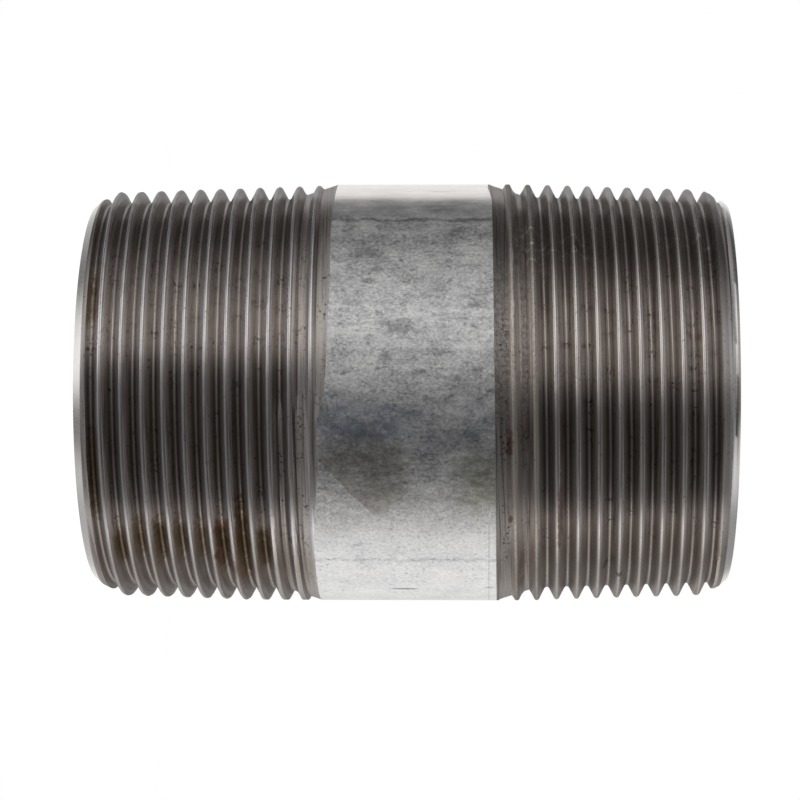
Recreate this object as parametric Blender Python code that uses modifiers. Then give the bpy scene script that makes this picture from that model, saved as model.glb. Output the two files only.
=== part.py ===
"""Galvanised steel pipe nipple with a taper pipe thread on each end, in metres.

The nipple stands on one end: +Z runs along its axis and the origin is the centre of the lower end face.
It is one piece of steel tube, so it is one object. The tube is a turned profile, and each thread is a
helical groove cut into it by a Boolean. The groove is deepest near the end of the tube, and it runs out
on the cone that the leading teeth of the threading die leave.
"""

import math

import bmesh
import bpy

# The tube, over its zinc
LENGTH = 0.073
PIPE_DIAMETER = 0.0486
WALL = 0.00415
BORE_BREAK = 0.0003

# The taper pipe thread, measured from the end face that it starts at
THREAD_PITCH = 0.0254 / 11
FLANK_ANGLE = math.radians(55)
THREAD_TAPER = 1 / 16
TRUNCATION = 1 / 6
GAUGE_LENGTH = 0.0127
GAUGE_UNDER_PIPE = 0.0008
THREAD_LENGTH = 0.027
LEAD_ANGLE = math.radians(18)

# The bevel on the outer edge of each end, and the shallower cone behind it
FACE_UNDER_ROOT = 0.0002
BEVEL_LENGTH = 0.00085
BEVEL_ANGLE = math.radians(41)
ENTRY_ANGLE = math.radians(27)

# Where the thread's crest leaves each end face, as an angle about the tube's axis
LOWER_START = math.radians(120)
UPPER_START = math.radians(187.5)

# Facets round the tube, which are also the steps along one turn of a thread
FACETS = 48

# How far the groove cutter reaches past the surfaces that it cuts
CUTTER_OVERLAP = 0.00005
CUTTER_HEADROOM = 0.0012

STEEL_COLOUR = (0.46, 0.44, 0.43, 1.0)
STEEL_ROUGHNESS = 0.38
SHARP_ANGLE = math.radians(20)
MERGE_DISTANCE = 0.000005

FACET_ANGLE = math.tau / FACETS
PIPE_RADIUS = PIPE_DIAMETER / 2
BORE_RADIUS = PIPE_RADIUS - WALL
CREST_SLOPE = THREAD_TAPER / 2
LEAD_SLOPE = math.tan(LEAD_ANGLE)
FLANK_SLOPE = math.tan(FLANK_ANGLE / 2)
SHARP_DEPTH = THREAD_PITCH / 2 / FLANK_SLOPE
THREAD_DEPTH = SHARP_DEPTH * (1 - 2 * TRUNCATION)
ROOT_HALF_WIDTH = THREAD_PITCH * TRUNCATION / 2


def crest_radius(depth):
    """Radius of the thread's crests, depth metres in from the end face."""
    gauge_radius = PIPE_RADIUS - GAUGE_UNDER_PIPE / 2
    return gauge_radius + (depth - GAUGE_LENGTH) * CREST_SLOPE


def root_radius(depth):
    return crest_radius(depth) - THREAD_DEPTH


def lead_radius(depth):
    """Radius of the cone on which the groove runs out, which meets the tube's outside at THREAD_LENGTH."""
    return PIPE_RADIUS + (depth - THREAD_LENGTH) * LEAD_SLOPE


def end_profile():
    """(radius, depth) along the outside of one end, from the end face to where the crests reach the tube."""
    face_radius = root_radius(0) - FACE_UNDER_ROOT
    bevel_radius = face_radius + BEVEL_LENGTH * math.tan(BEVEL_ANGLE)
    entry_rise = crest_radius(BEVEL_LENGTH) - bevel_radius
    entry_end = BEVEL_LENGTH + entry_rise / (math.tan(ENTRY_ANGLE) - CREST_SLOPE)
    crest_end = GAUGE_LENGTH + GAUGE_UNDER_PIPE / 2 / CREST_SLOPE
    return [
        (face_radius, 0),
        (bevel_radius, BEVEL_LENGTH),
        (crest_radius(entry_end), entry_end),
        (PIPE_RADIUS, crest_end),
    ]


def blank_profile():
    """(radius, height) round the tube's whole section, down its outside and up its bore."""
    end = end_profile()
    outside = [(radius, LENGTH - depth) for radius, depth in end] + end[::-1]
    bore = [
        (BORE_RADIUS + BORE_BREAK, 0),
        (BORE_RADIUS, BORE_BREAK),
        (BORE_RADIUS, LENGTH - BORE_BREAK),
        (BORE_RADIUS + BORE_BREAK, LENGTH),
    ]
    return outside + bore


def new_object(name, mesh, collection):
    made = bpy.data.objects.new(name, mesh)
    collection.objects.link(made)
    return made


def turned_tube(collection):
    """The tube before it is threaded: its closed section, turned about Z by a Screw modifier."""
    points = [(radius, 0, height) for radius, height in blank_profile()]
    edges = [(i, (i + 1) % len(points)) for i in range(len(points))]
    mesh = bpy.data.meshes.new("pipe_nipple")
    mesh.from_pydata(points, edges, [])
    tube = new_object("pipe_nipple", mesh, collection)
    turn = tube.modifiers.new("turn", "SCREW")
    turn.steps = FACETS
    turn.render_steps = FACETS
    turn.use_merge_vertices = True
    turn.merge_threshold = MERGE_DISTANCE
    return tube


def groove_half_width(centre, radius):
    """Half the groove's width at this radius, where the groove's middle is at this depth."""
    return ROOT_HALF_WIDTH + (radius - root_radius(centre)) * FLANK_SLOPE


def groove_corner(centre, side):
    """(radius, depth) where one flank of the groove meets its bottom.

    side is -1 for the flank nearer the end face and 1 for the other. The bottom is the root cone or the
    lead cone, whichever is further out. Past the crests the groove's sides stand upright.
    """
    crest = crest_radius(centre) + CUTTER_OVERLAP
    widest = groove_half_width(centre, crest)
    lead_rise = lead_radius(centre + side * ROOT_HALF_WIDTH) - root_radius(centre)
    on_lead = root_radius(centre) + lead_rise / (1 - side * LEAD_SLOPE * FLANK_SLOPE)
    if on_lead > crest:
        return lead_radius(centre + side * widest), centre + side * widest
    root_rise = side * ROOT_HALF_WIDTH * CREST_SLOPE
    on_root = root_radius(centre) + root_rise / (1 - side * CREST_SLOPE * FLANK_SLOPE)
    radius = max(on_lead, on_root)
    return radius, centre + side * groove_half_width(centre, radius)


def groove_section(centre):
    """(radius, depth) round the groove cutter's section, whose middle is at this depth."""
    crest = crest_radius(centre) + CUTTER_OVERLAP
    widest = groove_half_width(centre, crest)
    near, far = groove_corner(centre, -1), groove_corner(centre, 1)
    top = PIPE_RADIUS + THREAD_PITCH * LEAD_SLOPE + CUTTER_HEADROOM
    return [
        (top, centre - widest),
        (max(crest, near[0] + CUTTER_OVERLAP), centre - widest),
        near,
        far,
        (max(crest, far[0] + CUTTER_OVERLAP), centre + widest),
        (top, centre + widest),
    ]


def groove_cutter(name, start_angle, collection):
    """The groove of one thread as a solid: its section, lofted along a right-handed helix and capped."""
    # The turns start on one of the tube's facet edges, so that the two sets of edges coincide.
    start_angle = round(start_angle / FACET_ANGLE) * FACET_ANGLE
    first = -1.5 * THREAD_PITCH
    steps = math.ceil((THREAD_LENGTH + THREAD_PITCH / 2 - first) / THREAD_PITCH * FACETS)
    shape = bmesh.new()
    rings = []
    for step in range(steps + 1):
        angle = start_angle + step * FACET_ANGLE
        across, along = math.cos(angle), math.sin(angle)
        section = groove_section(first + step / FACETS * THREAD_PITCH)
        rings.append([shape.verts.new((r * across, r * along, depth)) for r, depth in section])
    sides = len(rings[0])
    for lower, upper in zip(rings, rings[1:]):
        for i in range(sides):
            j = (i + 1) % sides
            shape.faces.new((lower[i], lower[j], upper[j], upper[i]))
    shape.faces.new(rings[0])
    shape.faces.new(rings[-1])
    bmesh.ops.recalc_face_normals(shape, faces=shape.faces)
    mesh = bpy.data.meshes.new(name)
    shape.to_mesh(mesh)
    shape.free()
    cutter = new_object(name, mesh, collection)
    cutter.hide_render = True
    cutter.display_type = "WIRE"
    return cutter


def cut(body, cutter):
    boolean = body.modifiers.new(cutter.name, "BOOLEAN")
    boolean.operation = "DIFFERENCE"
    boolean.solver = "EXACT"
    boolean.object = cutter


def finish(tube):
    """Merge the corners that the cuts leave almost on each other, apply the modifiers and shade."""
    weld = tube.modifiers.new("weld", "WELD")
    weld.merge_threshold = MERGE_DISTANCE
    evaluated = tube.evaluated_get(bpy.context.evaluated_depsgraph_get())
    profile = tube.data
    tube.data = bpy.data.meshes.new_from_object(evaluated)
    tube.modifiers.clear()
    bpy.data.meshes.remove(profile)
    tube.data.name = tube.name
    tube.data.shade_smooth()
    tube.data.set_sharp_from_angle(angle=SHARP_ANGLE)


def steel():
    material = bpy.data.materials.new("galvanised_steel")
    material.use_nodes = True
    shader = material.node_tree.nodes["Principled BSDF"]
    shader.inputs["Base Color"].default_value = STEEL_COLOUR
    shader.inputs["Metallic"].default_value = 1.0
    shader.inputs["Roughness"].default_value = STEEL_ROUGHNESS
    return material


def new_collection(name):
    made = bpy.data.collections.new(name)
    bpy.context.scene.collection.children.link(made)
    return made


def clear_scene():
    for leftover in list(bpy.data.objects):
        bpy.data.objects.remove(leftover, do_unlink=True)


def main():
    clear_scene()
    parts = new_collection("pipe_nipple")
    cutters = new_collection("thread_cutters")
    nipple = turned_tube(parts)
    nipple.data.materials.append(steel())
    lower = groove_cutter("lower_thread_groove", LOWER_START, cutters)
    upper = groove_cutter("upper_thread_groove", UPPER_START, cutters)
    # Turned end over end, a right-handed thread stays right-handed.
    upper.rotation_euler = (math.pi, 0, 0)
    upper.location = (0, 0, LENGTH)
    cut(nipple, lower)
    cut(nipple, upper)
    finish(nipple)


main()
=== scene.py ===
"""Looks of a galvanised steel pipe nipple that stands on one end, with a taper thread on each end.

One closed surface replaces the CAD tube: both threads with their rounded crests and roots, the zinc band
between them, the turned ends and the bore. Lengths are millimetres until the mesh is made.
"""

import bpy
import numpy as np
from mathutils import Matrix, Vector


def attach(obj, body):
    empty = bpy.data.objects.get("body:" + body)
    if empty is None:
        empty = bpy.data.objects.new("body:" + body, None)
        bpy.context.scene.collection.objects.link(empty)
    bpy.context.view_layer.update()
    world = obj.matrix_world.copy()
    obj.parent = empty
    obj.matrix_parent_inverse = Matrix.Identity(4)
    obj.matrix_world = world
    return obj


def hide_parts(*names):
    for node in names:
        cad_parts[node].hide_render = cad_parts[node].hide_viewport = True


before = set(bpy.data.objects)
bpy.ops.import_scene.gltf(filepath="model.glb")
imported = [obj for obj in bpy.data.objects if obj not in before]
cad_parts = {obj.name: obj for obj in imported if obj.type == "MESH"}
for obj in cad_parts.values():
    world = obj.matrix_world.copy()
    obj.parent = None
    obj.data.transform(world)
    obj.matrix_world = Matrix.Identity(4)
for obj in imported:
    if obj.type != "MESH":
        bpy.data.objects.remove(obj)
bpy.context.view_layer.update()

MM = 0.001
DEGREES_IN_RADIAN = 180 / np.pi

# The tube
LENGTH = 73.0
CAD_RADIUS = 24.3
ZINC_RADIUS = 24.24
BORE_RADIUS = 20.15
BORE_BREAK = 0.3

# The thread, measured from the end face that it starts at
PITCH = 25.4 / 11
FLANK_ANGLE = np.radians(27.5)
ARC_RADIUS = 0.1373 * PITCH
THREAD_DEPTH = 0.6403 * PITCH
TAPER_SLOPE = 1 / 32
GAUGE_LENGTH = 12.7
GAUGE_RADIUS = 23.9
CREST_AT_FACE = GAUGE_RADIUS - GAUGE_LENGTH * TAPER_SLOPE
LEAD_SLOPE = np.tan(np.radians(18))
FACE_UNDER_ROOT = 0.2
FACE_RADIUS = CREST_AT_FACE - THREAD_DEPTH - FACE_UNDER_ROOT
BEVEL_LENGTH = 0.85
BEVEL_SLOPE = np.tan(np.radians(41))
ENTRY_SLOPE = np.tan(np.radians(27))

# The crests are a little uneven: so many sines, with so many waves a turn and of these sizes
RIPPLES = 14
RIPPLE_WAVES = (9, 70)
RIPPLE_SIZES = (0.002, 0.009)

# The grid: steps round the tube, and rows on the bevel, an arc of the thread, the zinc band and the bore
COLUMNS = 192
BEVEL_ROWS = 4
ARC_ROWS = 7
ZINC_ROWS = 12
BORE_ROWS = 9
MOST_TURNS = 14
FACE_INSET = 0.6
SHARP_ANGLE = np.radians(44)
# Points on the same hundred-thousandth of a millimetre are one
MERGE_STEPS = 1e5

# The finishes, numbered as the nipple's material slots are
THREAD, ZINC, TURNED, BORE = range(4)

# The floor's radius, the corners of its edge and the part of its whiteness that no shadow takes away
FLOOR_RADIUS = 75.0
FLOOR_SIDES = 96
FLOOR_GLOW = 0.85
FLOOR_WHITE = (0.85, 0.85, 0.85)

# The camera in metres, its lens in millimetres, and its small turns in radians off a level view along +Y
CAMERA_PLACE = (0, -0.3258, 0.0453)
CAMERA_LENS = 125.33
CAMERA_YAW, CAMERA_PITCH, CAMERA_ROLL = 0.031, -0.0027, 0.0003


def arc_height(across):
    """How far an arc of the thread's rounding radius falls below its top, this far from its middle."""
    return ARC_RADIUS - np.sqrt(np.maximum(ARC_RADIUS**2 - across**2, 0))


def thread_drop(turns):
    """Depth below the crest line, where whole turns are crests.

    Going across from the nearest crest, an arc of the rounding radius falls away, a straight flank at 27.5
    degrees follows, and the same arc turned over makes the root.
    """
    across = np.abs(turns - np.rint(turns)) * PITCH
    arc_end = ARC_RADIUS * np.cos(FLANK_ANGLE)
    crest = arc_height(np.minimum(across, arc_end))
    flank = np.clip(across - arc_end, 0, PITCH / 2 - 2 * arc_end) / np.tan(FLANK_ANGLE)
    root = arc_height(arc_end) - arc_height(np.minimum(PITCH / 2 - across, arc_end))
    return crest + flank + np.where(across > PITCH / 2 - arc_end, root, 0)


class ThreadEnd:
    """One threaded end. Angles and depths are its own: depth runs in from its end face."""

    def __init__(self, start, edge, seed, lean=0.0, shift=0.0):
        self.start = np.radians(start)
        self.edge_angles, self.edge_depths = np.array(sorted(edge)).T
        self.lean = lean
        self.shift = shift
        rng = np.random.default_rng(seed)
        waves = rng.uniform(*RIPPLE_WAVES, RIPPLES)
        phases = rng.uniform(0, 2 * np.pi, RIPPLES)
        sizes = rng.uniform(*RIPPLE_SIZES, RIPPLES)
        self.ripples = list(zip(waves, phases, sizes))

    def edge(self, angle):
        """Depth of the zinc's edge: straight lines between a few points round the tube, closed."""
        return np.interp(angle, np.radians(self.edge_angles), self.edge_depths, period=2 * np.pi)

    def tilt(self, angle):
        """How much further in the die's turn lies on this side, because its axis leans."""
        return self.lean * CAD_RADIUS * np.cos(angle)

    def turns(self, angle, depth):
        """Turns of thread from the face: whole on the crests of a right-handed helix."""
        return (depth - self.tilt(angle)) / PITCH - (angle - self.start) / (2 * np.pi)

    def depth_of(self, angle, turns):
        """The depth at which this angle has this many turns, the inverse of turns."""
        return PITCH * (turns + (angle - self.start) / (2 * np.pi)) + self.tilt(angle)

    def ripple(self, angle, turns):
        """Unevenness of the crest: a sum of sines of the angle counted along the whole helix."""
        along = 2 * np.pi * np.rint(turns) + angle - self.start
        return sum(size * np.sin(wave * along + phase) for wave, phase, size in self.ripples)

    def form(self, angle, depth):
        """Radius, rise, facing and run-out of the outside.

        The radius is the taper's crest line less the thread's drop, no deeper than the lead cone, and
        under the bevel, the entry cone and the tube. The rise is 0 in a root and 1 on a crest. The facing
        is the sine of the turns, above 0 on the flanks that face the tube's middle. The run-out is 1 where
        the lead cone is the bottom of the groove.
        """
        turns = self.turns(angle, depth)
        drop = thread_drop(turns)
        rise = np.clip(1 - drop / THREAD_DEPTH, 0, 1)
        thread = CREST_AT_FACE + depth * TAPER_SLOPE - drop + self.shift * np.cos(angle)
        thread += self.ripple(angle, turns) * rise
        lead = ZINC_RADIUS + (depth - self.edge(angle)) * LEAD_SLOPE
        bevel = FACE_RADIUS + depth * BEVEL_SLOPE
        entry = FACE_RADIUS + BEVEL_LENGTH * BEVEL_SLOPE + (depth - BEVEL_LENGTH) * ENTRY_SLOPE
        radius = np.minimum.reduce([np.maximum(thread, lead), bevel, entry, lead * 0 + ZINC_RADIUS])
        return radius, rise, np.sin(2 * np.pi * turns), (lead > thread).astype(float)

    def rows(self, angles):
        """Depths of the grid's rows: level rings on the bevel, then helical rows up to the zinc's edge.

        A helical row that starts at turn t has the depth pitch * (t + angle / 360 degrees), so that its
        last column meets the first column of the row one turn on. The rows are held between the bevel
        and the zinc's edge.
        """
        bevel = np.linspace(0, BEVEL_LENGTH, BEVEL_ROWS)[:, None] + angles * 0
        turns = (np.arange(MOST_TURNS)[:, None] + ROW_TURNS).reshape(-1, 1)
        helix = np.clip(self.depth_of(angles, turns), BEVEL_LENGTH, self.edge(angles))
        return np.concatenate([bevel, helix])


LOWER = ThreadEnd(
    start=140,
    edge=[(-165, 28.15), (-138, 28.0), (-122, 28.15), (-103, 28.0), (-91, 27.75), (-82, 26.8),
          (-71, 26.95), (-48, 26.2), (-12, 26.2), (60, 26.9), (130, 27.8)],
    seed=3,
    lean=-0.0074,
    shift=0.18,
)
UPPER = ThreadEnd(
    start=200.7,
    edge=[(165, 27.55), (154, 27.1), (88, 26.8), (13, 26.5), (-60, 26.8), (-130, 27.3)],
    seed=8,
)

# Rows across one turn, closer together on the crest's and the root's arcs
ARC_SHARE = ARC_RADIUS * np.cos(FLANK_ANGLE) / PITCH
ARC_TURNS = np.linspace(-ARC_SHARE, ARC_SHARE, ARC_ROWS)
ROW_TURNS = np.concatenate([ARC_TURNS, [0.25], 0.5 + ARC_TURNS, [0.75]])


def nipple_rows(angles):
    """Radius, height, rise, facing, run-out and crispness of every row, and the finish between rows.

    The rows go up the outside, in over the upper end face, down the bore and out over the lower face,
    where the last row is the first one again.
    """
    lower = LOWER.rows(angles)
    upper = LENGTH - UPPER.rows(-angles)[::-1]
    along = np.linspace(0, 1, ZINC_ROWS + 1)[1:-1, None]
    zinc = lower[-1] * (1 - along) + upper[0] * along
    height = np.concatenate([lower, zinc, upper])
    turned = angles + height * 0
    radius, rise, facing, run_out = np.where(
        height < LENGTH / 2, LOWER.form(turned, height), UPPER.form(-turned, LENGTH - height)
    )
    facing = np.where(height < LENGTH / 2, facing, -facing)
    inside = np.array([
        (FACE_RADIUS - FACE_INSET, LENGTH),
        (BORE_RADIUS + BORE_BREAK, LENGTH),
        *[(BORE_RADIUS, level) for level in np.linspace(LENGTH - BORE_BREAK, BORE_BREAK, BORE_ROWS)],
        (BORE_RADIUS + BORE_BREAK, 0),
        (FACE_RADIUS - FACE_INSET, 0),
    ])
    flat = np.zeros((len(inside) + 1, 1)) + angles * 0
    radius = np.concatenate([radius, inside[:, :1] + flat[:-1], radius[:1]])
    height = np.concatenate([height, inside[:, 1:] + flat[:-1], height[:1]])
    rise, facing, run_out = (np.concatenate([values, flat]) for values in (rise, facing, run_out))
    first_zinc, first_upper = len(lower), len(lower) + len(zinc)
    crisp = np.zeros(height.shape, bool)
    outside = first_upper + len(upper)
    crisp[[BEVEL_ROWS - 1, first_zinc - 1, first_upper, outside - BEVEL_ROWS]] = True
    finish = np.repeat(
        [TURNED, THREAD, ZINC, THREAD, TURNED, BORE, TURNED],
        [BEVEL_ROWS - 1, len(lower) - BEVEL_ROWS, len(zinc) + 1, len(upper) - BEVEL_ROWS,
         BEVEL_ROWS + 1, len(inside) - 3, 2],
    )
    return radius, height, rise, facing, run_out, crisp, finish


def make_nipple():
    """The nipple's mesh: (radius, angle, height) of every row turned into points and joined up.

    Points that coincide become one. This closes the surface along the seam, where each helical row meets
    the next turn's, and turns the quads that the bevel and the zinc's edge squeeze into triangles.
    """
    angles = np.linspace(-np.pi, np.pi, COLUMNS + 1)
    radius, height, rise, facing, run_out, crisp, finish = nipple_rows(angles)
    points = np.stack([radius * np.cos(angles), radius * np.sin(angles), height], axis=2).reshape(-1, 3)
    number = np.arange(len(points)).reshape(radius.shape)
    quads = np.stack([number[:-1, :-1], number[:-1, 1:], number[1:, 1:], number[1:, :-1]], axis=2)
    quads = quads.reshape(-1, 4)
    finish = np.repeat(finish, COLUMNS)
    _, first, same = np.unique(
        np.round(points * MERGE_STEPS).astype(np.int64), axis=0, return_index=True, return_inverse=True
    )
    same = same.reshape(-1)
    quads = same[quads]
    distinct = quads != np.roll(quads, -1, axis=1)
    whole, squeezed = distinct.all(axis=1), distinct.sum(axis=1) == 3
    corners = np.concatenate([quads[whole].reshape(-1), quads[squeezed][distinct[squeezed]]])
    sizes = np.repeat([4, 3], [whole.sum(), squeezed.sum()])

    mesh = bpy.data.meshes.new("nipple")
    mesh.vertices.add(len(first))
    mesh.vertices.foreach_set("co", (points[first] * MM).reshape(-1))
    mesh.loops.add(len(corners))
    mesh.loops.foreach_set("vertex_index", corners.astype(np.int32))
    mesh.polygons.add(len(sizes))
    mesh.polygons.foreach_set("loop_start", (np.cumsum(sizes) - sizes).astype(np.int32))
    mesh.polygons.foreach_set(
        "material_index", np.concatenate([finish[whole], finish[squeezed]]).astype(np.int32)
    )
    mesh.update(calc_edges=True)
    for name, values in (("rise", rise), ("facing", facing), ("run_out", run_out)):
        mesh.attributes.new(name, "FLOAT", "POINT").data.foreach_set("value", values.reshape(-1)[first])
    mesh.shade_smooth()
    mesh.set_sharp_from_angle(angle=SHARP_ANGLE)
    on_corner = np.zeros(len(first), bool)
    on_corner[same[crisp.reshape(-1)]] = True
    ends = np.zeros(len(mesh.edges) * 2, np.int32)
    mesh.edges.foreach_get("vertices", ends)
    sharp = np.zeros(len(mesh.edges), bool)
    mesh.edges.foreach_get("use_edge_sharp", sharp)
    mesh.edges.foreach_set("use_edge_sharp", sharp | on_corner[ends.reshape(-1, 2)].all(axis=1))
    return mesh


class Value:
    """A node's output. Arithmetic on it adds Math nodes."""

    def __init__(self, board, socket):
        self.board = board
        self.socket = socket

    def maths(self, operation, *others):
        return self.board.node("ShaderNodeMath", {"operation": operation}, dict(enumerate(others)))

    def __add__(self, other):
        return self.maths("ADD", self, other)

    def __radd__(self, other):
        return self.maths("ADD", other, self)

    def __sub__(self, other):
        return self.maths("SUBTRACT", self, other)

    def __rsub__(self, other):
        return self.maths("SUBTRACT", other, self)

    def __mul__(self, other):
        return self.maths("MULTIPLY", self, other)

    def __rmul__(self, other):
        return self.maths("MULTIPLY", other, self)

    def __truediv__(self, other):
        return self.maths("DIVIDE", self, other)

    def __rtruediv__(self, other):
        return self.maths("DIVIDE", other, self)

    def at_least(self, other):
        return self.maths("MAXIMUM", self, other)

    def at_most(self, other):
        return self.maths("MINIMUM", self, other)

    def size(self):
        return self.maths("ABSOLUTE", self)

    def ramp(self, low, high):
        """0 up to low, 1 from high, smooth between. low may be above high."""
        return self.board.node(
            "ShaderNodeMapRange",
            {"interpolation_type": "SMOOTHSTEP"},
            {"Value": self, "From Min": low, "From Max": high},
        )


class Board:
    """The nodes of one material or of the world."""

    def __init__(self, tree):
        self.tree = tree
        tree.nodes.clear()

    def node(self, kind, settings=None, inputs=None, output=0):
        """A new node: its settings first, then the values or links of its inputs."""
        made = self.tree.nodes.new(kind)
        for name, setting in (settings or {}).items():
            if name == "stops":
                self.set_stops(made.color_ramp, setting)
            else:
                setattr(made, name, setting)
        for name, value in (inputs or {}).items():
            socket = made.inputs[name]
            if isinstance(value, Value):
                self.tree.links.new(value.socket, socket)
            elif isinstance(value, tuple) and socket.type == "RGBA":
                socket.default_value = (*value, 1)
            else:
                socket.default_value = value
        return Value(self, made.outputs[output]) if made.outputs else None

    @staticmethod
    def set_stops(ramp, stops):
        while len(ramp.elements) < len(stops):
            ramp.elements.new(1)
        for element, (place, level) in zip(ramp.elements, stops):
            element.position = place
            element.color = (level, level, level, 1)

    def level(self, value, points):
        """A level that follows a line through (value, level) points."""
        low, high = points[0][0], points[-1][0]
        most = max(level for _, level in points)
        stops = [((place - low) / (high - low), level / most) for place, level in points]
        share = (value - low) / (high - low)
        return self.node("ShaderNodeValToRGB", {"stops": stops}, {0: share}) * most

    def blend(self, share, first, second):
        """The number part of the way from first to second."""
        return first * (1 - share) + second * share

    def mix(self, share, first, second):
        """A colour part of the way from first to second."""
        return self.node("ShaderNodeMix", {"data_type": "RGBA"}, {0: share, 6: first, 7: second}, output=2)

    def vector(self, x, y, z):
        return self.node("ShaderNodeCombineXYZ", None, {0: x, 1: y, 2: z})

    def noise(self, place, scale, detail=2.0, roughness=0.5):
        return self.node(
            "ShaderNodeTexNoise",
            {"noise_dimensions": "3D"},
            {"Vector": place, "Scale": scale, "Detail": detail, "Roughness": roughness},
        )


class Surface(Board):
    """The nodes of a finish. Its patterns are drawn in places on the tube, in millimetres."""

    def __init__(self, name):
        self.material = bpy.data.materials.new(name)
        self.material.use_nodes = True
        super().__init__(self.material.node_tree)
        place = self.node("ShaderNodeTexCoord", output="Object")
        self.x, self.y, self.z = (
            self.node("ShaderNodeSeparateXYZ", None, {0: place}, output=i) * (1 / MM) for i in range(3)
        )
        # Angle round the tube from -Y, growing towards -X, and the same as a length over the zinc
        self.angle = (self.x * -1).maths("ARCTAN2", self.x * -1, self.y * -1) * DEGREES_IN_RADIAN
        self.arc = self.angle * (CAD_RADIUS / DEGREES_IN_RADIAN)
        self.radius = (self.x * self.x + self.y * self.y).maths("SQRT", self.x * self.x + self.y * self.y)

    def attribute(self, name):
        return self.node("ShaderNodeAttribute", {"attribute_name": name}, output="Fac")

    def grain(self, along, scale, detail=2.0, roughness=0.5):
        """Noise that is stretched along the tube where along is below 1, and squeezed above 1."""
        return self.noise(self.vector(self.x, self.y, self.z * along), scale, detail, roughness)

    def thread_lines(self, fine, scale, detail=2.0, roughness=0.6):
        """Noise that changes fast across the thread and slowly along it, with no seam.

        Across, its place goes round a circle of the radius fine once a pitch. Along, it drifts with the
        place on the tube, so that no two turns are alike.
        """
        phase = self.z * (2 * np.pi / PITCH) + self.angle * (1 / DEGREES_IN_RADIAN)
        across = phase.maths("COSINE", phase) * fine + self.x * 0.07
        aside = phase.maths("SINE", phase) * fine + self.y * 0.07
        return self.noise(self.vector(across, aside, self.z * 0.6), scale, detail, roughness)

    @staticmethod
    def arc_at(angle):
        return float(np.radians(angle) * CAD_RADIUS)

    def line(self, angle, wander, outer, inner):
        """1 on a thin wandering line along the tube, fading from inner to outer on both sides of it."""
        return (self.arc - self.arc_at(angle) + wander).size().ramp(outer, inner)

    def spot(self, angle, height, long, wide, ragged, edge=0.4):
        """1 inside an oval, long along the tube and wide round it, its outline made uneven by ragged."""
        along = (self.z - height) / (long / 2)
        across = (self.arc - self.arc_at(angle)) / (wide / 2)
        return (along * along + across * across + ragged).ramp(1 + edge, 1 - edge)

    def spots(self, places, ragged):
        """The sum of (angle, height, long, wide, strength) ovals, at most 1."""
        total = 0.0
        for angle, height, long, wide, strength in places:
            total = self.spot(angle, height, long, wide, ragged, 0.7) * strength + total
        return total.at_most(1.0)

    def finish(self, colour, roughness, bump_height, bump_strength, bump_distance, brushed=0.0):
        """The finished material: metal of this colour and roughness, with a bump."""
        bump = self.node(
            "ShaderNodeBump",
            None,
            {"Height": bump_height, "Strength": bump_strength, "Distance": bump_distance * MM},
        )
        shader = self.node(
            "ShaderNodeBsdfPrincipled",
            None,
            {
                "Base Color": colour,
                "Roughness": roughness,
                "Metallic": 1.0,
                "Normal": bump,
                # The tool's lines run round the tube, so the gloss spreads along it, a quarter turn away.
                "Anisotropic": brushed,
                "Anisotropic Rotation": 0.25 if brushed else 0.0,
            },
        )
        self.node("ShaderNodeOutputMaterial", None, {"Surface": shader})
        return self.material


# Greys and stains of the zinc, and its painted highlight
ZINC_DARK, ZINC_LIGHT = (0.25, 0.253, 0.262), (0.83, 0.82, 0.81)
ZINC_BLOTCH = (0.16, 0.16, 0.165)
ZINC_COLD, ZINC_TOP_HIGHLIGHT = (0.24, 0.29, 0.42), (0.82, 0.77, 0.72)
ZINC_TARNISH, ZINC_SPECK = (0.33, 0.28, 0.22), (0.20, 0.18, 0.16)
BROWN_STAIN, OLIVE_STAIN = (0.20, 0.18, 0.145), (0.27, 0.26, 0.18)
BORE_DARK, BORE_LIGHT = (0.34, 0.345, 0.35), (0.62, 0.62, 0.61)

# Colours of the bare steel, clean and dirty, and of its painted light and shade
STEEL_DARK, STEEL_LIGHT, STEEL_HIGHLIGHT = (0.25, 0.225, 0.215), (0.64, 0.585, 0.55), (0.84, 0.78, 0.73)
LIT_FLANK_LOWER, LIT_FLANK_UPPER, LIT_FLANK_HIGHLIGHT = (0.62, 0.585, 0.615), (0.60, 0.57, 0.565), (0.80, 0.76, 0.77)
FLANK_HIGHLIGHT_LOWER, FLANK_HIGHLIGHT_UPPER = (0.80, 0.80, 0.84), (0.86, 0.79, 0.74)
WORN_CREST_HIGHLIGHT, TORN_CREST = (0.82, 0.77, 0.725), (0.42, 0.38, 0.31)
CHATTER_MARK, ROOT_SHADE = (0.20, 0.165, 0.155), (0.19, 0.165, 0.15)
UNDERSIDE_SHADE, TOP_SIDE_SHADE = (0.22, 0.188, 0.165), (0.17, 0.15, 0.14)
BAND_SHADE, OIL, OIL_IN_ROOT = (0.20, 0.19, 0.185), (0.23, 0.16, 0.085), (0.08, 0.058, 0.036)
DIRT, PIT, NICK = (0.12, 0.10, 0.085), (0.06, 0.048, 0.04), (0.06, 0.055, 0.05)
RUST, BARE_SCRATCH = (0.20, 0.105, 0.065), (0.80, 0.77, 0.74)
FACE_DARK, FACE_LIGHT = (0.62, 0.60, 0.59), (0.84, 0.82, 0.81)

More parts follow.
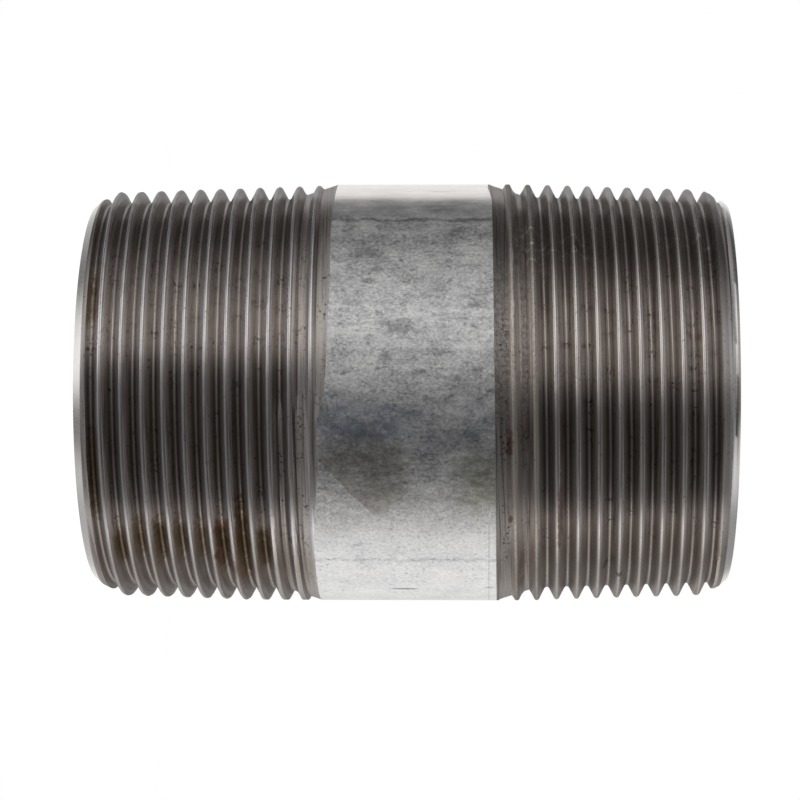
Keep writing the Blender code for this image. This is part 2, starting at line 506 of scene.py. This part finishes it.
# Oval marks: their angle and height on the tube, their length along it, their width and their strength
BLOTCHES = [
    (39.4, 32.1, 3.4, 1.8, 0.55), (34.0, 33.4, 1.4, 0.9, 0.5), (30.3, 32.7, 2.0, 0.8, 0.7),
    (16.8, 36.0, 3.6, 1.8, 0.5), (14.2, 32.7, 1.0, 0.6, 0.5), (9.2, 34.5, 1.3, 1.1, 0.45),
    (46.0, 33.0, 1.6, 1.0, 0.4), (-8.9, 32.3, 6.5, 2.0, 0.5), (-16.5, 32.0, 1.6, 0.7, 0.6),
    (-18.0, 33.0, 1.0, 0.6, 0.5), (44.0, 43.5, 1.0, 0.5, 0.4), (-44.0, 31.0, 1.4, 0.8, 0.35),
    (-66.0, 45.6, 0.9, 0.4, 0.6), (120.0, 33.0, 4.0, 2.4, 0.4), (160.0, 41.0, 3.0, 1.6, 0.4),
    (-120.0, 36.0, 5.0, 2.4, 0.4), (-150.0, 30.0, 2.0, 1.4, 0.5),
]
OIL_PATCHES = [
    (-51, 4.3, 1.6, 6.0, 0.7), (-48, 8.5, 1.9, 8.0, 0.8), (-49, 15.5, 2.1, 9.0, 1.0),
    (-50, 18.0, 2.0, 15.0, 0.9), (-50, 20.5, 1.8, 7.0, 0.8), (-46, 12.9, 1.9, 8.0, 0.6),
    (-46, 10.7, 1.9, 8.0, 0.6), (-46, 6.2, 1.7, 7.0, 0.6), (30, 2.4, 1.2, 9.0, 0.6),
    (-24, 2.4, 1.2, 12.0, 0.5), (150, 14.0, 3.0, 9.0, 0.5), (-140, 56.0, 2.4, 8.0, 0.4),
]
RUST_SPOTS = [
    (43, 55.3, 0.5, 2.0, 0.7), (16, 67.4, 0.6, 0.9, 0.6), (-54, 49.3, 0.7, 5.0, 0.6),
    (-64, 49.3, 0.7, 2.4, 0.7), (-34, 53.4, 0.5, 9.0, 0.7), (-12, 53.5, 0.4, 6.0, 0.5),
    (-14, 47.9, 0.6, 3.4, 0.7), (-36, 48.0, 0.6, 1.2, 0.7), (-10, 49.8, 0.4, 4.5, 0.5),
    (-56, 16.9, 1.2, 3.0, 0.8), (-40, 15.6, 0.9, 1.6, 0.9), (-50, 15.3, 0.9, 1.4, 0.9),
    (-66, 18.8, 1.2, 1.6, 0.9), (110, 60.0, 1.0, 3.0, 0.6),
]
NICKS = [(-57, 58.7, 0.7, 1.4, 1.0), (-59, 60.2, 0.9, 0.8, 1.0), (-45, 12.0, 0.5, 0.8, 1.0)]

# Scratches along the tube: their angle, the height of their middle and their length
HAIR_SCRATCHES = [
    (49.8, 50.1, 3.4), (44.4, 50.2, 4.2), (41.5, 52.6, 8.4), (47.0, 54.6, 3.8), (46.5, 67.6, 6.8),
    (40.2, 70.2, 1.9), (37.2, 50.8, 2.9),
]


class ZincBand(Surface):
    """Hot-dip zinc: mottled grey with fine grain, streaks along the tube, dark blotches and two stains."""

    def __init__(self):
        super().__init__("zinc_band")
        self.clouds = self.grain(0.7, 0.4, 4, 0.6)
        self.mottle = self.grain(0.9, 3.0, 3, 0.75)
        self.streaks = self.grain(0.12, 1.9, 3, 0.6)
        self.flecks = self.grain(0.55, 1.3, 3, 0.65)
        self.ragged = (self.grain(0.7, 1.0, 4, 0.7) - 0.5) * 8.0
        self.uneven_angle = self.angle + self.ragged
        # The zinc ran smooth along the top, above a thin dark crack, and is clean and pale underneath.
        self.smooth = self.angle.ramp(51.0, 57.0) * (self.angle + self.ragged * 2.0).ramp(118.0, 92.0)
        self.clean = self.uneven_angle.ramp(-23.0, -36.0) * self.angle.ramp(-110.0, -90.0)

    def dark_lines(self):
        """How much the two long cracks, the two scratches and the turned ring darken the zinc."""
        wander = (self.grain(1.0, 0.5, 3, 0.6) - 0.5) * 2.2
        upper_crack = self.line(52.5, wander, 0.5, 0.1)
        lower_crack = self.line(-50.5, wander, 0.45, 0.1)
        scratch_below = self.spot(-67, 36.0, 3.0, 0.5, self.ragged * 0.1)
        scratch_above = self.spot(70.7, 40.0, 2.2, 0.4, self.ragged * 0.1)
        ring = (self.z - 45.6).size().ramp(0.09, 0.03) * self.angle.ramp(-34, -40)
        return upper_crack * 0.5 + lower_crack * 0.2 + (scratch_below + scratch_above) * 0.9 + ring * 0.3

    def tone(self):
        """The grey of the zinc, from 0 at its darkest to 1 at its lightest."""
        rough = 1 - self.smooth
        weathered = 1 - self.clean
        contrast = 1 - self.clean * 0.5
        sparkle = self.grain(1.0, 4.5, 1, 0.5)
        patchy = (self.clouds - 0.5) * 1.7 + (self.mottle - 0.5) * (1.6 - self.smooth * 1.2)
        tone = 0.54 + patchy * contrast
        tone = tone + (self.streaks - 0.5) * 0.6 * weathered + self.clean * 0.12
        tone = tone + (self.grain(0.5, 5.0, 2, 0.8) - 0.5) * 1.3 * contrast * rough
        tone = tone - self.flecks.ramp(0.57, 0.66) * 0.3 * rough * weathered
        tone = tone - self.grain(1.0, 2.6, 3, 0.7).ramp(0.57, 0.66) * 0.35 * self.clean
        tone = tone + sparkle.ramp(0.64, 0.76) * 0.3 * rough
        return (tone - self.dark_lines()).at_least(0.0).at_most(1.0)

    def cold(self):
        """Where the zinc is bluish: a faint band across the middle and one stronger patch in it."""
        band = self.uneven_angle.ramp(5.0, -6.0) * self.uneven_angle.ramp(-24.0, -13.0)
        patch = self.spot(-8.5, 32.0, 9.0, 4.4, self.ragged * 0.5, 0.9)
        return band * 0.12 + patch * self.streaks.ramp(0.38, 0.6) * 0.55

    def stained(self, colour):
        """A stain with a straight slanting edge, an olive one, and a band of tarnish with dark specks."""
        slant = (self.z - 27.7) * 0.752 + (self.arc + 8.4) * 0.659 + self.ragged * 0.02
        brown = self.spot(-22.0, 31.6, 11.0, 10.0, self.ragged * 0.25, 0.6) * slant.ramp(-0.1, 0.12)
        brown = brown * (0.5 + (self.grain(0.8, 1.5, 4, 0.7) - 0.5) * 1.6).at_least(0.0)
        olive = self.spot(-24.0, 44.4, 6.0, 7.0, self.ragged * 0.5, 0.9)
        olive = olive * (0.3 + self.flecks.ramp(0.4, 0.6) * 0.4)
        tarnish = self.uneven_angle.ramp(-22.0, -30.0) * self.uneven_angle.ramp(-43.0, -35.0)
        specks = self.grain(1.0, 3.6, 3, 0.75).ramp(0.55, 0.62) * (0.08 + tarnish * 0.4)
        tarnish = tarnish * self.grain(0.8, 1.7, 4, 0.7).ramp(0.45, 0.6) * 0.3
        colour = self.mix(brown, colour, BROWN_STAIN)
        colour = self.mix(olive, colour, OLIVE_STAIN)
        colour = self.mix(tarnish, colour, ZINC_TARNISH)
        return self.mix(specks, colour, ZINC_SPECK)


def zinc_band():
    zinc = ZincBand()
    blotches = zinc.spots(BLOTCHES, zinc.ragged)
    blotches = blotches * (0.45 + zinc.grain(0.8, 1.8, 4, 0.7).ramp(0.35, 0.6) * 0.75)
    colour = zinc.mix(zinc.tone(), ZINC_DARK, ZINC_LIGHT)
    colour = zinc.mix(blotches, colour, ZINC_BLOTCH)
    colour = zinc.mix(zinc.cold(), colour, ZINC_COLD)
    colour = zinc.stained(colour)
    # Painted highlight: a light, warm strip along the top side of the smooth zinc.
    colour = zinc.mix(zinc.smooth * zinc.angle.ramp(58.0, 66.0) * 0.5, colour, ZINC_TOP_HIGHLIGHT)
    roughness = 0.40 + (zinc.clouds - 0.5) * 0.2 + (zinc.mottle - 0.5) * 0.15 - zinc.smooth * 0.2
    return zinc.finish(colour, roughness, zinc.streaks * 0.6 + zinc.mottle * 0.4, 0.3, 0.02)


class CutThread(Surface):
    """Bare cut steel: tool lines along the thread, pits in the roots, oil and rust, rougher underneath,
    with painted light and shade.
    """

    def __init__(self):
        super().__init__("cut_thread")
        self.rise = self.attribute("rise")
        self.facing = self.attribute("facing")
        self.run_out = self.attribute("run_out")
        self.full_thread = 1 - self.run_out
        self.lines = self.thread_lines(0.95, 1.9, 2)
        self.bands = self.thread_lines(0.8, 1.6, 2)
        self.grit = self.grain(1.0, 3.5, 3, 0.7)
        self.clusters = self.grain(1.0, 0.45, 2, 0.5)
        self.ragged = (self.grain(1.0, 1.3, 3, 0.65) - 0.5) * 5.0
        # The tool left short chatter marks on the turned band beside the upper thread.
        turned_band = self.z.ramp(44.0, 46.0) * self.angle.ramp(-12.0, -6.0) * self.angle.ramp(42.0, 34.0)
        self.turned_band = self.run_out * turned_band
        self.chatter = (self.grain(0.8, 1.7, 2, 0.55) - 0.5).size().ramp(0.08, 0.02) * self.turned_band
        # On the upper thread the painted highlight band and the band of painted shade on this side lie
        # further from -X.
        self.upper = self.z.ramp(36.0, 40.0)
        self.shifted = self.angle + self.upper * 9.0
        # Painted highlight: a band of this side is painted lighter.
        self.bright = self.shifted.ramp(-4.0, 16.0) * (self.angle + self.upper * 22.0).ramp(54.0, 26.0)
        # Painted shade: a band of this side is painted darker. It is made rougher too.
        self.shade_band = self.shifted.ramp(15.0, 1.0) * self.angle.ramp(-40.0, -26.0)
        # Painted shade: the lower side of the thread is painted darker. It is made rougher too.
        self.under = self.angle.ramp(-32.0, -56.0) * self.angle.ramp(-179.0, -150.0)
        torn = self.z.ramp(45.6, 46.6) * self.z.ramp(51.6, 50.6) * self.rise.ramp(0.75, 0.95)
        self.torn = torn * self.full_thread

    def steel(self):
        """The cut steel with its tool lines, and a painted highlight on a band along the side."""
        tone = 0.78 + (self.lines - 0.5) * (5.0 - self.turned_band * 3.5)
        tone = tone + (self.bands - 0.5) * 0.8 + (self.grit - 0.5) * 0.9
        colour = self.mix(tone.at_least(0.0).at_most(1.0), STEEL_DARK, STEEL_LIGHT)
        colour = self.mix(self.bright * 0.5, colour, STEEL_HIGHLIGHT)
        return self.mix(self.chatter * 0.5, colour, CHATTER_MARK)

    def flank_light_and_wear(self, colour):
        """Painted light on the flanks, and crests lighter from wear and as a painted highlight.

        One flank is painted lighter and tinted, as bounce light would make it: on the lower thread the one
        that faces the lower end, and on the upper thread the other one. The flanks that face the lower end
        also get a painted highlight towards the crest.
        """
        faces_down = self.facing.ramp(0.15, -0.35)
        # Painted light: one flank of each thread is painted lighter and tinted, as bounce light would make
        # it. The local smooth holds that painted flank colour.
        lit_flank = self.blend(self.upper, faces_down, 1 - faces_down) * self.rise.ramp(0.08, 0.3)
        smooth = self.mix(self.upper, LIT_FLANK_LOWER, LIT_FLANK_UPPER)
        smooth = self.mix(self.bright * 0.5, smooth, LIT_FLANK_HIGHLIGHT)
        colour = self.mix(lit_flank * self.full_thread * 0.75, colour, smooth)
        # Painted highlight: the flanks that face the lower end are painted lighter towards the crest.
        flank_highlight = faces_down * self.rise.ramp(0.3, 0.95) * (0.85 - self.shade_band * 0.6)
        colour = self.mix(flank_highlight, colour, self.mix(self.upper, FLANK_HIGHLIGHT_LOWER, FLANK_HIGHLIGHT_UPPER))
        # Crest tips lighter from wear and as a painted highlight, less so in the band of painted shade.
        worn_and_highlight = self.rise.ramp(0.955, 0.995) * (0.3 + (self.grit - 0.5) * 1.2) * (1 - self.shade_band)
        return self.mix(worn_and_highlight.at_least(0.0), colour, WORN_CREST_HIGHLIGHT)

    def shaded_and_dirtied(self, colour):
        """Painted shade in a band, in the roots and on the lower and upper sides, torn crests beside the
        upper run-out, dirt and pits.
        """
        # Painted shade on the band of this side.
        shade_band = self.shade_band * (0.36 + self.rise.ramp(0.75, 0.9) * 0.3)
        torn = self.torn * (0.55 + (self.grit - 0.5) * 2.0).at_least(0.0)
        # Painted shade in the roots, deeper in the band of painted shade.
        root = self.rise.ramp(0.5, 0.1) * self.full_thread
        root = root * (0.5 + self.shade_band * 0.35 + (self.bands - 0.5) * 0.8)
        dirt = self.grain(0.9, 3.1, 2, 0.6).ramp(0.6, 0.7) * (0.3 + self.clusters.ramp(0.45, 0.6) * 0.4)
        pits = self.grain(0.9, 2.6, 3, 0.65).ramp(0.57, 0.61) * self.clusters.ramp(0.48, 0.6)
        pits = pits * self.rise.ramp(0.7, 0.25) * 0.9
        # Painted shade on the lower side.
        under = self.under * (0.7 + self.rise.ramp(0.75, 0.9) * 0.1 + (self.grit - 0.5) * 0.5)
        # Painted shade towards the upper side.
        over = self.shifted.ramp(36.0, 54.0) * 0.5 + self.angle.ramp(54.0, 64.0) * 0.35
        over = (over + (self.grit - 0.5) * 0.5) * self.angle.ramp(120.0, 95.0)
        for share, shade in (
            (shade_band, BAND_SHADE), (torn, TORN_CREST), (root, ROOT_SHADE), (dirt, DIRT), (pits, PIT),
            (under, UNDERSIDE_SHADE), (over, TOP_SIDE_SHADE),
        ):
            colour = self.mix(share, colour, shade)
        return colour

    def marked(self, colour):
        """Oil in the grooves, rust, nicks, and hair-thin scratches along the tube over the crests."""
        oil = self.spots(OIL_PATCHES, self.ragged) * (1 - self.rise.ramp(0.6, 0.97))
        colour = self.mix(oil, colour, OIL)
        colour = self.mix(oil * self.rise.ramp(0.35, 0.08) * 0.9, colour, OIL_IN_ROOT)
        colour = self.mix(self.spots(RUST_SPOTS, self.ragged), colour, RUST)
        colour = self.mix(self.spots(NICKS, self.ragged * 0.5) * 0.8, colour, NICK)
        bend = (self.grain(1.0, 0.6, 2, 0.5) - 0.5) * 4.0
        hairs = 0.0
        for angle, height, long in HAIR_SCRATCHES:
            reach = (self.z - height).size().ramp(long / 2, long / 2 - 0.5)
            hairs = self.line(angle, bend, 0.17, 0.06) * reach + hairs
        hairs = hairs.at_most(1.0) * (0.35 + self.rise.ramp(0.2, 0.6) * 0.55)
        return self.mix(hairs, colour, BARE_SCRATCH)


def cut_thread():
    thread = CutThread()
    colour = thread.marked(thread.shaded_and_dirtied(thread.flank_light_and_wear(thread.steel())))
    # Towards both edges of this side the thread is dull.
    top_edge = thread.angle.ramp(60.0, 85.0) * thread.angle.ramp(150.0, 110.0)
    dull = top_edge.at_least(thread.angle.ramp(-62.0, -85.0))
    roughness = 0.27 + (thread.bands - 0.5) * 0.15 + (thread.under + thread.shade_band) * 0.14
    roughness = roughness + dull * 0.2 + thread.torn * 0.15
    return thread.finish(
        colour, roughness, thread.lines * 0.7 + thread.grit * 0.3 - thread.chatter * 0.5, 0.35, 0.03
    )


def turned_face():
    """The end faces and bevels: bright turned steel with fine rings."""
    s = Surface("turned_face")
    rings = s.noise(s.vector(s.radius * 9, s.x * 0.05, s.y * 0.05), 1.0, 3, 0.6)
    grit = s.grain(1.0, 2.5, 3, 0.7)
    colour = s.mix((rings * 0.6 + grit * 0.4).ramp(0.25, 0.75), FACE_DARK, FACE_LIGHT)
    return s.finish(colour, 0.22 + grit * 0.12, rings, 0.3, 0.02, brushed=0.5)


def zinc_bore():
    """The bore: dull zinc, duller and blotchier than the outside."""
    s = Surface("zinc_bore")
    clouds = s.grain(0.5, 0.5, 4, 0.6)
    grain = s.grain(1.0, 4.0, 2, 0.7)
    colour = s.mix((clouds * 0.7 + grain * 0.3).ramp(0.25, 0.75), BORE_DARK, BORE_LIGHT)
    return s.finish(colour, 0.42 + clouds * 0.15, clouds + grain * 0.5, 0.4, 0.1)


def studio():
    """White to the camera. Everything else sees soft light that changes with the direction it looks in.

    Facing the camera's side the light follows the angle round the tube, and towards each end of the tube
    it follows the height above the tube's middle line as the picture has it, which is -X.
    """
    world = bpy.data.worlds.new("studio")
    bpy.context.scene.world = world
    world.use_nodes = True
    b = Board(world.node_tree)
    way = b.node("ShaderNodeTexCoord", output="Generated")
    x, y, z = (b.node("ShaderNodeSeparateXYZ", None, {0: way}, output=i) for i in range(3))
    around = (x * -1).maths("ARCTAN2", x * -1, y * -1) * DEGREES_IN_RADIAN
    round_tube = b.level(
        around,
        [
            (-180, 1.0), (-134, 1.25), (-87, 1.3), (-76, 1.05), (-66, 0.68), (-52, 0.26), (-42, 0.14),
            (-15, 0.16), (-5, 0.25), (8, 0.48), (20, 0.8), (33, 1.1), (48, 1.12), (60, 0.76),
            (80, 0.43), (100, 0.29), (121, 0.24), (131, 0.3), (136, 1.0), (180, 1.05),
        ],
    )
    # More light comes from below than from above, so a crest's bright line is sharp on its upper side.
    round_tube = round_tube * b.level(
        z,
        [
            (-1, 0.4), (-0.7, 0.42), (-0.4, 0.6), (-0.15, 1.02), (0.08, 1.06), (0.2, 0.65), (0.35, 0.3),
            (1, 0.25),
        ],
    )
    rise = (x * -1).maths("ARCSINE", x * -1) * DEGREES_IN_RADIAN
    lower_end = b.level(
        rise, [(-90, 1.0), (-30, 1.4), (-20, 0.7), (-14, 0.2), (-6, 0.18), (4, 1.2), (40, 1.3), (90, 0.4)]
    )
    upper_end = b.level(
        rise, [(-90, 1.0), (-45, 1.9), (-20, 1.0), (-8, 0.15), (0, 0.25), (10, 0.5), (40, 0.45), (90, 0.4)]
    )
    light = round_tube + around.ramp(-60.0, -42.0) * around.ramp(8.0, -8.0) * z.ramp(-0.12, -0.5) * 0.2
    light = b.blend((z * -1).ramp(0.8, 0.98), light, lower_end)
    light = b.blend(z.ramp(0.75, 0.97), light, upper_end)
    # The white backdrop stands behind the nipple, where its gloss shows it too.
    glossy = b.node("ShaderNodeLightPath", output="Is Glossy Ray")
    clear = b.node("ShaderNodeLightPath", output="Is Transmission Ray")
    backdrop = glossy.at_least(clear) * y.ramp(0.8, 0.97)
    shown = b.node("ShaderNodeLightPath", output="Is Camera Ray").at_least(backdrop)
    background = b.node(
        "ShaderNodeBackground", None, {"Color": (1, 1, 1), "Strength": b.blend(shown, light, 1.0)}
    )
    b.node("ShaderNodeOutputWorld", None, {"Surface": background})


def make_floor():
    """A pale flat disc under the tube, white to the camera but for the tube's own soft shadow.

    Its corners are radius times the cosine and the sine of equal steps of a turn.
    """
    turn = np.linspace(0, 2 * np.pi, FLOOR_SIDES + 1)[:-1]
    points = np.stack([np.cos(turn), np.sin(turn), turn * 0], axis=1) * FLOOR_RADIUS * MM
    mesh = bpy.data.meshes.new("floor")
    mesh.from_pydata(points.tolist(), [], [list(range(len(turn)))])
    floor = bpy.data.objects.new("floor", mesh)
    bpy.context.scene.collection.objects.link(floor)
    material = bpy.data.materials.new("pale_floor")
    material.use_nodes = True
    b = Board(material.node_tree)
    diffuse = b.node("ShaderNodeBsdfDiffuse", None, {"Color": FLOOR_WHITE})
    camera = b.node("ShaderNodeLightPath", output="Is Camera Ray")
    glow = b.node("ShaderNodeEmission", None, {"Color": (1, 1, 1), "Strength": camera * FLOOR_GLOW})
    both = b.node("ShaderNodeAddShader", None, {0: diffuse, 1: glow})
    b.node("ShaderNodeOutputMaterial", None, {"Surface": both})
    mesh.materials.append(material)
    # The light from below reaches the metal as if the floor were clear.
    floor.visible_glossy = False
    floor.visible_shadow = False


def make_camera():
    """Level with the tube's middle, rolled on its side so that the tube's axis runs across the picture."""
    right, up, forward = Vector((0, 0, 1)), Vector((-1, 0, 0)), Vector((0, 1, 0))
    forward, right = forward - right * CAMERA_YAW, right + forward * CAMERA_YAW
    forward, up = forward + up * CAMERA_PITCH, up - forward * CAMERA_PITCH
    right, up = right + up * CAMERA_ROLL, up - right * CAMERA_ROLL
    right.normalize()
    forward.normalize()
    up.normalize()
    camera = bpy.data.cameras.new("camera")
    camera.lens = CAMERA_LENS
    camera.sensor_width = 36
    camera.clip_start = 0.01
    holder = bpy.data.objects.new("camera", camera)
    bpy.context.scene.collection.objects.link(holder)
    turned = Matrix((right, up, -forward)).transposed().to_4x4()
    turned.translation = Vector(CAMERA_PLACE)
    holder.matrix_world = turned
    bpy.context.scene.camera = holder


def main():
    nipple = bpy.data.objects.new("nipple", make_nipple())
    bpy.context.scene.collection.objects.link(nipple)
    for finish in (cut_thread(), zinc_band(), turned_face(), zinc_bore()):
        nipple.data.materials.append(finish)
    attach(nipple, "root")
    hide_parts("pipe_nipple")
    studio()
    make_floor()
    make_camera()
    bpy.context.scene.view_settings.view_transform = "Standard"


main()
